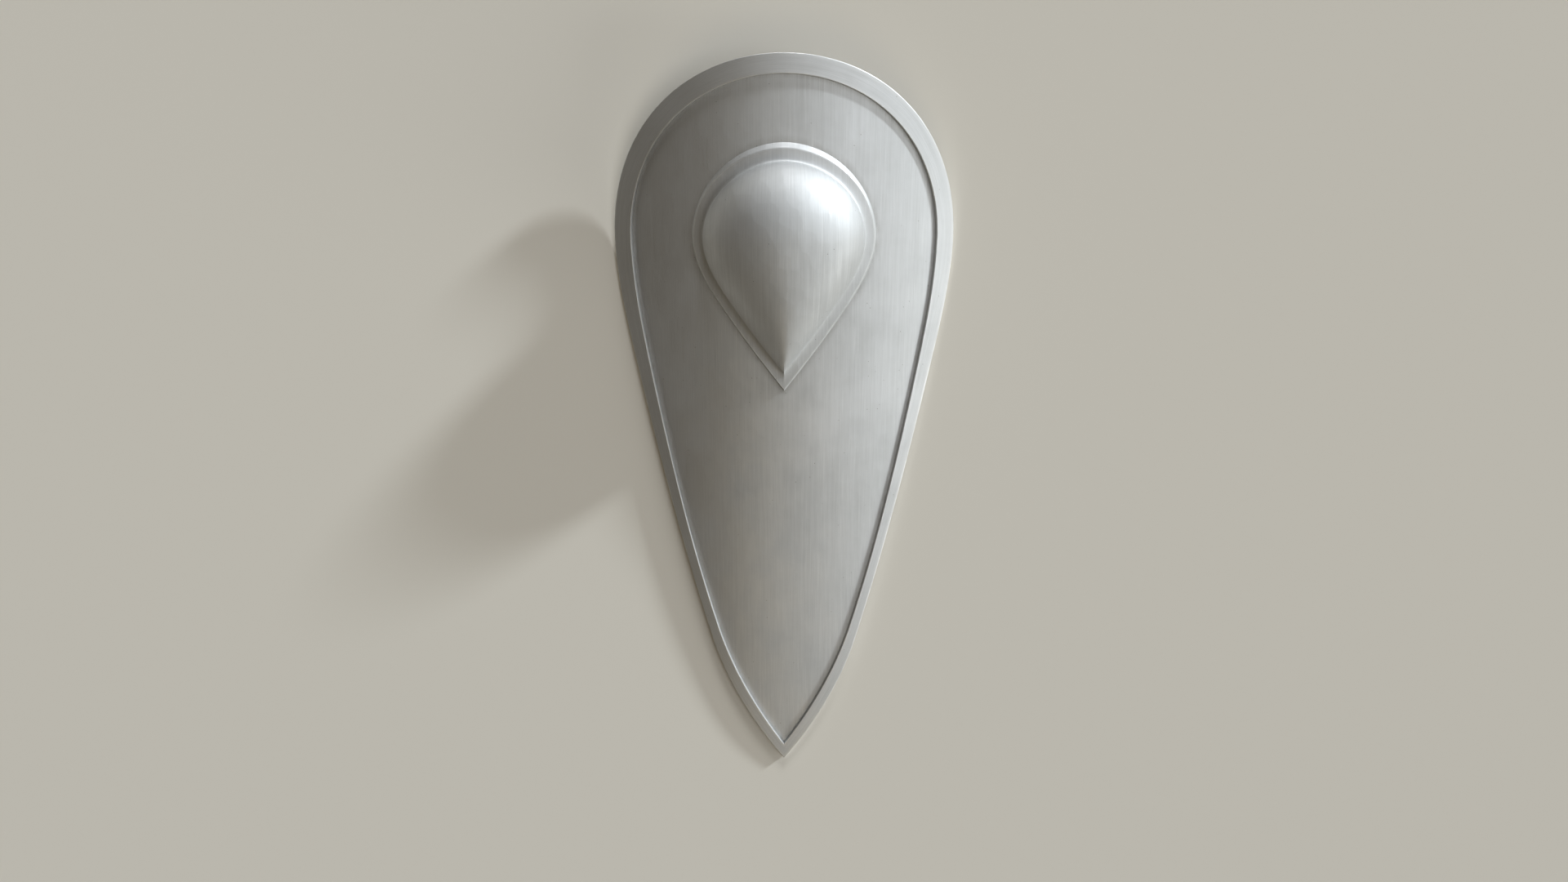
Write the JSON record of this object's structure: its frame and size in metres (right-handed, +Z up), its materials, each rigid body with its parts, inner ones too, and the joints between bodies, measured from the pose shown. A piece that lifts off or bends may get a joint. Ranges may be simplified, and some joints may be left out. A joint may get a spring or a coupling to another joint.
{
  "type": "kite shield",
  "caption": "Sheet-steel kite shield, rolled about its long axis, with a raised folded rim, a pointed teardrop boss and leather arm straps behind.",
  "frame": {"origin": "bottom centre of the overall box, on the ground that the shield lies on", "axes": "+Y along the shield's length towards its round top, +Z up, out of its face, +X to the right of the face"},
  "size_m": [0.524, 1.1464, 0.1614],
  "materials": {
    "plate_steel": "satin grey steel sheet",
    "rim_steel": "satin grey steel, lightly worn along the edges",
    "boss_steel": "satin grey steel, smoother than the plate",
    "strap_leather": "brown vegetable-tanned leather, waxed",
    "rivet_steel": "dull steel"
  },
  "bodies": {
    "root": {"face_plate": "plate_steel", "rim": "rim_steel", "boss": "boss_steel", "arm_strap": "strap_leather", "hand_strap": "strap_leather", "strap_rivet_1": "rivet_steel", "strap_rivet_2": "rivet_steel", "strap_rivet_3": "rivet_steel", "strap_rivet_4": "rivet_steel", "strap_rivet_5": "rivet_steel", "strap_rivet_6": "rivet_steel", "strap_rivet_7": "rivet_steel", "strap_rivet_8": "rivet_steel"}
  },
  "joints": []
}
